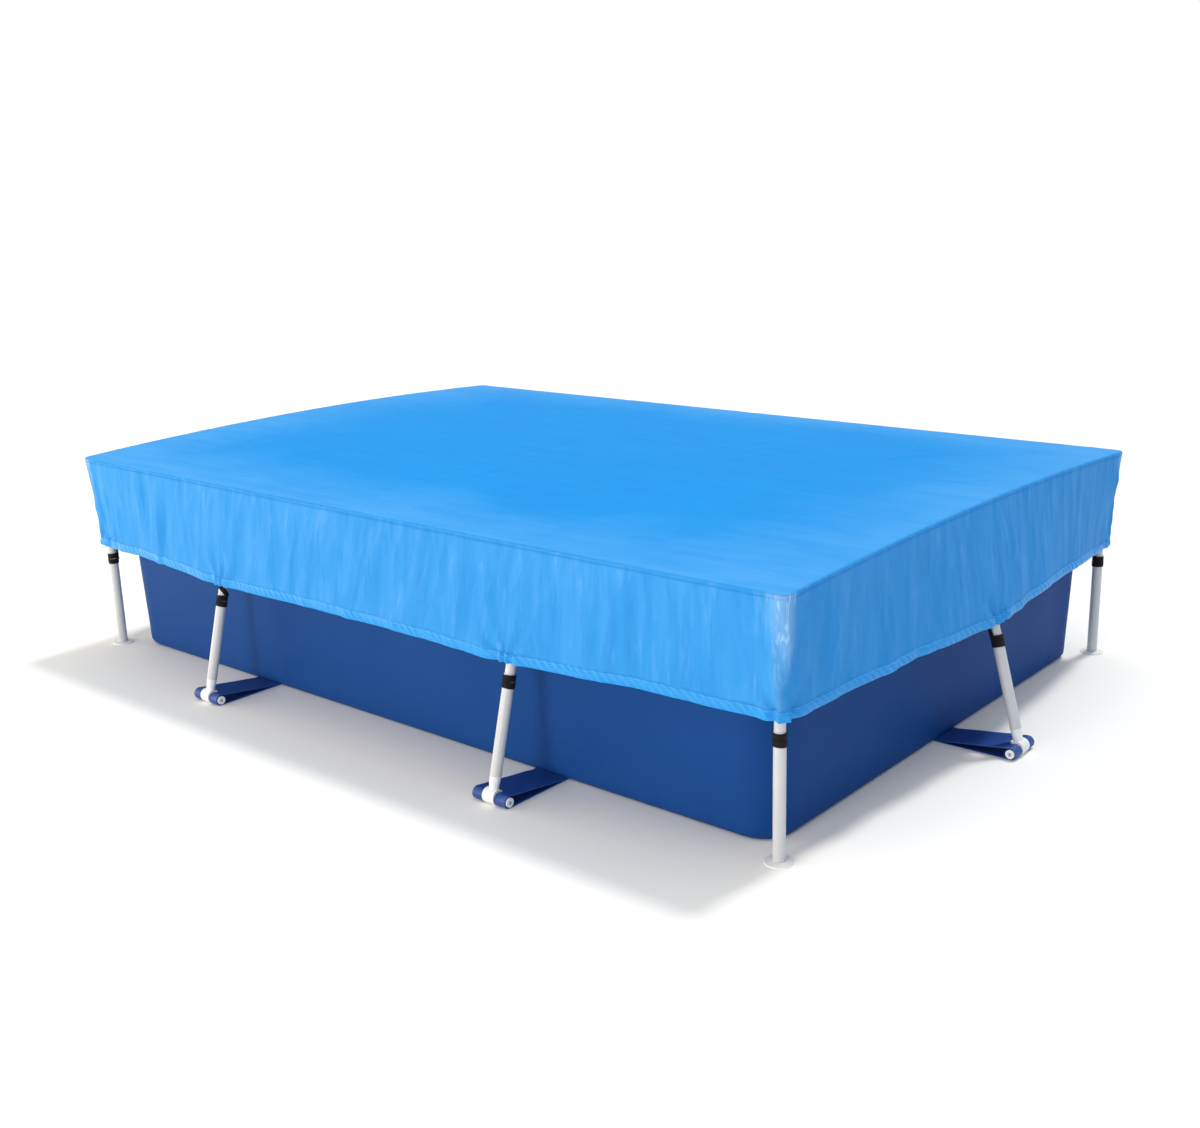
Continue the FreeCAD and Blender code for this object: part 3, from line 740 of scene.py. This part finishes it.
# Places of the legs along the cover's run, where the hem is drawn in: the corners first
cover_ring, cover_face = plan_ring(corner_out, cover_corner, cover_steps)
cover_run = run_along(cover_ring)
cover_length = cover_run[-1] + math.dist(cover_ring[-1], cover_ring[0])
leg_plan = [(sx * (half_length + corner_out), sy * (half_width + corner_out))
            for sx in (-1, 1) for sy in (-1, 1)]
for quarter, _, line, supports in side_data:
    leg_plan += [to_world(quarter, support, line + corner_out) for support in supports]
pinches = [cover_run[np.argmin(np.hypot(cover_ring[:, 0] - x, cover_ring[:, 1] - y))] for x, y in leg_plan]


def along_run(run, place):
    """Signed distance along the closed run from a place."""
    return (run - place + cover_length / 2) % cover_length - cover_length / 2


def from_leg(run):
    """Distance along the run to the nearest leg."""
    return np.min([np.abs(along_run(run, pinch)) for pinch in pinches], axis=0)


def risen(run):
    """How far the hem rises between the legs."""
    return hem_rise * (1 - np.exp(-(from_leg(run) / hem_rise_run) ** 2))


def folds(run):
    """Even soft folds of the hem, which die out at the legs."""
    waved = fold_out * (1 - np.cos(2 * math.pi * run / (cover_length / fold_count)))
    return waved * (1 - np.exp(-(from_leg(run) / fold_clear) ** 2))


# Drape wrinkles: middle, half width, height, slant, and the depths at which each fades in and out
def drape(count, widths, heights, slant, begins, ends):
    """Random wrinkles down the skirt, one row each."""
    return np.column_stack([
        cover_rng.uniform(0, cover_length, count),
        cover_rng.uniform(*widths, count),
        cover_rng.uniform(*heights, count) * cover_rng.choice([-1, 1], count),
        cover_rng.normal(0, slant, count),
        cover_rng.uniform(*begins, count),
        cover_rng.uniform(*ends, count),
    ])


wrinkles = np.concatenate([
    drape(230, (0.012, 0.038), (0.0014, 0.0050), 0.12, (0.0, 0.20), (0.22, 0.42)),
    drape(260, (0.007, 0.012), (0.0006, 0.0020), 0.16, (0.0, 0.04), (0.08, 0.20)),
])

# Crumples at the corners: corner, distance along the run, depth, half width, half height and push
crumple_count = 170
crumples = np.column_stack([
    cover_rng.integers(0, 4, crumple_count),
    cover_rng.normal(0, 0.026, crumple_count),
    cover_rng.uniform(0.02, 0.32, crumple_count),
    cover_rng.uniform(0.007, 0.014, crumple_count),
    cover_rng.uniform(0.012, 0.040, crumple_count),
    cover_rng.uniform(0.0010, 0.0034, crumple_count) * cover_rng.choice([-1, 1], crumple_count),
])


def skirt_relief(run, depth, full_depth):
    """Outward push of the skirt at places along the run and depths below the top edge."""
    push = np.zeros_like(run)
    for middle, width, height, slant, begin, end in wrinkles:
        away = along_run(run, middle) - slant * depth
        fade = np.clip((depth - begin * 0.4) / wrinkle_fade, 0, 1)
        fade *= np.clip((end - depth) / wrinkle_fade, 0, 1)
        push += height * fade * np.exp(-(away / width) ** 2)
    for corner, offset, down, width, tall, height in crumples:
        away = along_run(run, pinches[int(corner)]) - offset
        push += height * np.exp(-(away / width) ** 2 - ((depth - down) / tall) ** 2)
    for number, pinch in enumerate(pinches):
        away = along_run(run, pinch)
        up = np.maximum(full_depth - depth, 0) + 0.004
        distance = np.hypot(away, up)
        fan = np.cos(fan_rays * np.arctan2(up, away) + 1.3 * number)
        push += fan_out * fan * np.exp(-(distance / fan_reach) ** 2) * np.clip(distance / 0.03, 0, 1)
        push -= tuck_in * np.exp(-((np.abs(away) - tuck_aside) / tuck_width) ** 2 - up / tuck_rise)
    return push


# Creases across the top: middle, direction, half length, half width and height
crease_count = 90
creases = np.column_stack([
    cover_rng.uniform(-1.5, 1.5, crease_count),
    cover_rng.choice([-1.0, 1.0], crease_count) * cover_rng.uniform(0.2, 1.0, crease_count),
    cover_rng.normal(1.15, 0.35, crease_count),
    cover_rng.uniform(0.12, 0.55, crease_count),
    cover_rng.uniform(0.006, 0.020, crease_count),
    cover_rng.uniform(0.0004, 0.0016, crease_count) * cover_rng.choice([-1, 1], crease_count),
])


def top_height(x, y):
    """The top sheet: arched across the pool, with broad slack waves and faint slanting creases."""
    slack = slack_rise * np.sin(4.1 * x + 1.7 * np.sin(2.3 * y)) * np.sin(3.3 * y + 1.1 * np.sin(1.9 * x))
    slack *= np.clip((half_length - np.abs(x)) / calm_end, 0, 1)
    slack *= np.clip((half_width - np.abs(y)) / calm_side, 0, 1)
    height = arch(y) + slack
    for cx, cy, turn, length, width, rise in creases:
        along = (x - cx) * math.cos(turn) + (y - cy) * math.sin(turn)
        aside = (y - cy) * math.cos(turn) - (x - cx) * math.sin(turn)
        height = height + rise * np.exp(-(aside / width) ** 2 - (along / length) ** 2)
    return height


def cover_row(depth_share, roll=None):
    """One ring of the cover: on the rounded edge if roll is given, else down the skirt."""
    if roll is not None:
        inset, drop = edge_roll * (1 - math.sin(roll)), edge_roll * (1 - math.cos(roll))
        place, face = plan_ring(corner_out - inset, cover_corner - inset, cover_steps)
        seam = seam_ply * math.exp(-((roll - seam_turn) / seam_spread) ** 2)
        height = top_height(place[:, 0], place[:, 1]) - drop + seam
        return np.column_stack([place + face * seam, height]), edge_roll * roll + 0 * cover_run
    corner = corner_out + (hem_corner_out - corner_out) * depth_share
    place, face = plan_ring(corner, cover_corner, cover_steps, lambda run, supports:
                            corner_out + (hem_reach(run, supports) - corner_out) * depth_share)
    top = top_height(cover_ring[:, 0], cover_ring[:, 1]) - edge_roll
    bottom = hem_high - hem_lap + risen(cover_run)
    height = top + (bottom - top) * depth_share
    depth = top - height
    push = skirt_relief(cover_run, depth, top - bottom + below_hem) + folds(cover_run) * depth_share
    return np.column_stack([place + face * push[:, None], height]), edge_roll * math.pi / 2 + depth


rows = [cover_row(0, roll=math.pi / 2 * k / roll_rows) for k in range(roll_rows + 1)]
rows += [cover_row(k / skirt_rows) for k in range(1, skirt_rows + 1)]
rings = [ring for ring, _ in rows]
unfolded = [cover_ring + cover_face * walked[:, None] for _, walked in rows]
cover = capped_skin("cover_sheet", rings, top_height, unfolded, cover_steps, cover_finish, sheet_thickness)
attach(cover, "cover")
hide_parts("cover_top", "cover_skirt_front", "cover_skirt_right", "cover_skirt_back",
            "cover_skirt_left")


# Cover hem
# The skirt's foot is folded up double and sewn. The cord inside it, which isn't drawn, gathers
# it into small slanting puckers and draws it in at every leg.
hem_finish, shader, start = finish("sewn_hem")
along_hem, up_hem = start.unfolded()
spot = start.spot()
cloudy = spot.noise(9.0, 4.0)
# The gathers give a relief and also paint light and shade into the colour, lighter on their crests.
gathers_and_painted_shade = ((along_hem + up_hem * 1.1 + cloudy * 0.05) * 230.0).sine()
thread = 1 - abs(up_hem - 0.0265).above(0.0006, 0.0016)
thread *= 0.7 + 0.3 * (along_hem * 1300.0).sine()
feed(shader,
     Base_Color=start.mixed(thread * 0.6 + (0.5 + 0.5 * gathers_and_painted_shade) * 0.22,
                            (0.012, 0.265, 0.70, 1), (0.09, 0.41, 0.83, 1)),
     Roughness=0.36 + 0.14 * cloudy,
     Normal=(gathers_and_painted_shade * 0.5 + thread + cloudy).bump(0.5, 0.0020),
     Specular_IOR_Level=0.2)

hem_steps = (760, 510)
hem_fit = 0.0012
hem_thickness = 0.0009
hem_short = 0.001
gather_out, gather_step, gather_slant = 0.0014, 0.0300, 0.9


def hem_row(level, out):
    """One ring of the hem at a height share from 0, its foot, to 1, its sewn top."""
    place, face = plan_ring(hem_corner_out, cover_corner, hem_steps, hem_reach)
    top_place, _ = plan_ring(corner_out, cover_corner, hem_steps)
    run = run_along(top_place)
    height = hem_low + risen(run) + (hem_high - hem_low - hem_short) * level
    top = top_height(top_place[:, 0], top_place[:, 1]) - edge_roll
    full = top - (hem_high - hem_lap + risen(run))
    push = skirt_relief(run, np.minimum(full, top - height), full + below_hem) + folds(run)
    turn = 2 * math.pi * (run + gather_slant * height) / gather_step + 2.1 * np.sin(5.3 * run)
    held = math.sin(math.pi * min(max(level, 0.05), 0.95)) * np.clip(from_leg(run) / 0.02, 0.3, 1)
    push += gather_out * np.sin(turn) * held + out + hem_fit
    return np.column_stack([place + face * push[:, None], height]), run


# Rows of the hem as (level, outward), down its outside and up its inside
outside = [(1.0, -0.0022), (0.94, -0.0012), (0.88, 0.0002), (0.82, 0.0004), (0.74, 0.0012), (0.64, 0.0020),
           (0.52, 0.0024), (0.40, 0.0025), (0.27, 0.0022), (0.15, 0.0015), (0.06, 0.0004), (0.01, -0.0008)]
inside = [(0.0, -0.0024), (0.04, -0.0042), (0.14, -0.0054), (0.30, -0.0056), (0.50, -0.0053),
          (0.72, -0.0048), (0.92, -0.0044)]
rings, unfolded = [], []
for way, hem_rows in ((1, outside), (-1, inside)):
    for level, out in hem_rows:
        ring, run = hem_row(level, out)
        rings.append(ring)
        unfolded.append(np.column_stack([run, way * (hem_high - hem_low) * level + 0 * run]))
hem = cloth("cover_hem_band", np.concatenate(rings), np.concatenate(bands(rings)), np.concatenate(unfolded),
            hem_finish, hem_thickness)
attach(hem, "cover")
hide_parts("cover_hem")
top_size = (2 * (half_width + corner_out), 2 * (half_length + corner_out))
skirt_drop = crown_height - arch_rise - hem_low
top_size[0] + 2 * skirt_drop
top_size[1] + 2 * skirt_drop
top_size[0] * top_size[1] + 2 * (top_size[0] + top_size[1]) * skirt_drop


# Ties
# Black polypropylene webbing wound twice round the top of each leg, its tail going up
# under the hem that it holds down.
webbing_finish, shader, start = finish("black_webbing")
split_u, split_v = start.unfolded()
ribs = (split_u * 3600.0 + (split_v * 1800.0).sine() * 1.5).sine()
spot = start.spot()
cloudy = spot.noise(80.0, 4.0)
feed(shader,
     Base_Color=start.mixed(cloudy, (0.004, 0.004, 0.005, 1), (0.011, 0.011, 0.012, 1)),
     Roughness=0.55 + 0.25 * cloudy,
     Normal=ribs.bump(0.6, 0.0008),
     Specular_IOR_Level=0.2)

webbing_width = 0.0185
webbing_ply = 0.0015
wind_gap = 0.0006
wind_low, wind_slant, turn_gap = 0.0015, 0.0011, 0.0004
webbing_crown = 0.0003
tail_width = 0.0150
tail_rise = 0.060
tail_turned, tail_inward = 0.7, 0.0015


def webbing(name, frames, width, node, steps_across=6):
    """Flat strap through frames of (centre, across, face), each a vector."""
    points, faces, flat = [], [], []
    walked = 0.0
    for number, (centre, across_way, face_way) in enumerate(frames):
        if number:
            walked += (centre - frames[number - 1][0]).length
        for k in range(steps_across + 1):
            x = (k / steps_across - 0.5) * width
            crown = webbing_crown * (1 - (2 * x / width) ** 2)
            points.append(tuple(centre + across_way * x + face_way * crown))
            flat.append((x, walked))
    row = steps_across + 1
    for i in range(len(frames) - 1):
        for j in range(steps_across):
            corner = i * row + j
            faces.append((corner, corner + 1, corner + row + 1, corner + row))
    strap = cloth(name, np.array(points), np.array(faces), flat, webbing_finish, webbing_ply)
    strap.modifiers["thickness"].offset = 0
    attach(strap, "root")
    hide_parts(node)
    return strap


def wound_tie(name, top, down, outward_way, tail, node):
    """Two turns round the leg's top and a tail up to the hem. The tail is given by its first and last
    angle from the outward way, its first height over the leg's top, and how far it leaves the leg."""
    side_way = down.cross(outward_way)
    first, last, low, free = tail

    def ways(angle):
        return (outward_way * math.cos(angle) + side_way * math.sin(angle),
                side_way * math.cos(angle) - outward_way * math.sin(angle))

    for turn in range(2):
        frames = []
        for angle in np.linspace(0, 2 * math.pi, 49):
            way = ways(angle)[0]
            slant = wind_slant * math.sin(angle + 1.1 + 2.2 * turn)
            depth = wind_low + webbing_width * (turn + 0.5) + turn_gap * turn + slant
            radius = leg_radius + wind_gap + webbing_ply / 2 + turn_gap * turn
            frames.append((top + down * depth + way * radius, down, way))
        webbing(f"{name}_turn_{turn}", frames, webbing_width, node)
    frames = []
    radius = leg_radius + wind_gap + webbing_ply * 1.7
    for share in np.linspace(0, 1, 25):
        way, tangent_way = ways(math.radians(first + (last - first) * min(share / tail_turned, 1)))
        rise = low + (tail_rise - low) * share
        swing = math.radians(last - first) * radius + free
        climb = (down * (low - tail_rise) + tangent_way * swing).normalized()
        away = tangent_way * free * max(share - tail_turned, 0) / (1 - tail_turned)
        frames.append((top - down * rise + way * (radius - tail_inward * share) + away,
                       climb.cross(way).normalized(), way))
    webbing(f"{name}_tail", frames, tail_width, node)


straight_down = Vector((0, 0, -1))
for name, x, y, tail in (("front_left", -1, -1, (150, 215, -0.026, 0.0)),
                         ("front_right", 1, -1, (160, 200, -0.026, 0.0)),
                         ("back_right", 1, 1, (-95, -20, 0.004, 0.0)),
                         ("back_left", -1, 1, (165, 205, -0.026, 0.0))):
    outward_way = Vector((x, y, 0)).normalized()
    wound_tie("tie_corner_" + name, Vector((x * half_length, y * half_width, leg_top)), straight_down,
              outward_way, tail, "corner_ties")
side_top_distance = (rail_axis - leg_top) / math.cos(lean)
for quarter, _, line, supports in side_data:
    for number, support in enumerate(supports):
        outward_way = Vector((*to_world(quarter, 0, 1), 0))
        down = (outward_way * math.sin(lean) + straight_down * math.cos(lean)).normalized()
        face_way = (outward_way * math.cos(lean) - straight_down * math.sin(lean)).normalized()
        on_rail = Vector((*to_world(quarter, support, line), rail_axis))
        tail = (-120, 25, -0.004, 0.030) if (quarter, number) == (0, 0) else (95, 130, -0.026, 0.0)
        wound_tie(f"tie_side_{quarter}_{number}", on_rail + down * side_top_distance, down, face_way,
                  tail, "side_ties")
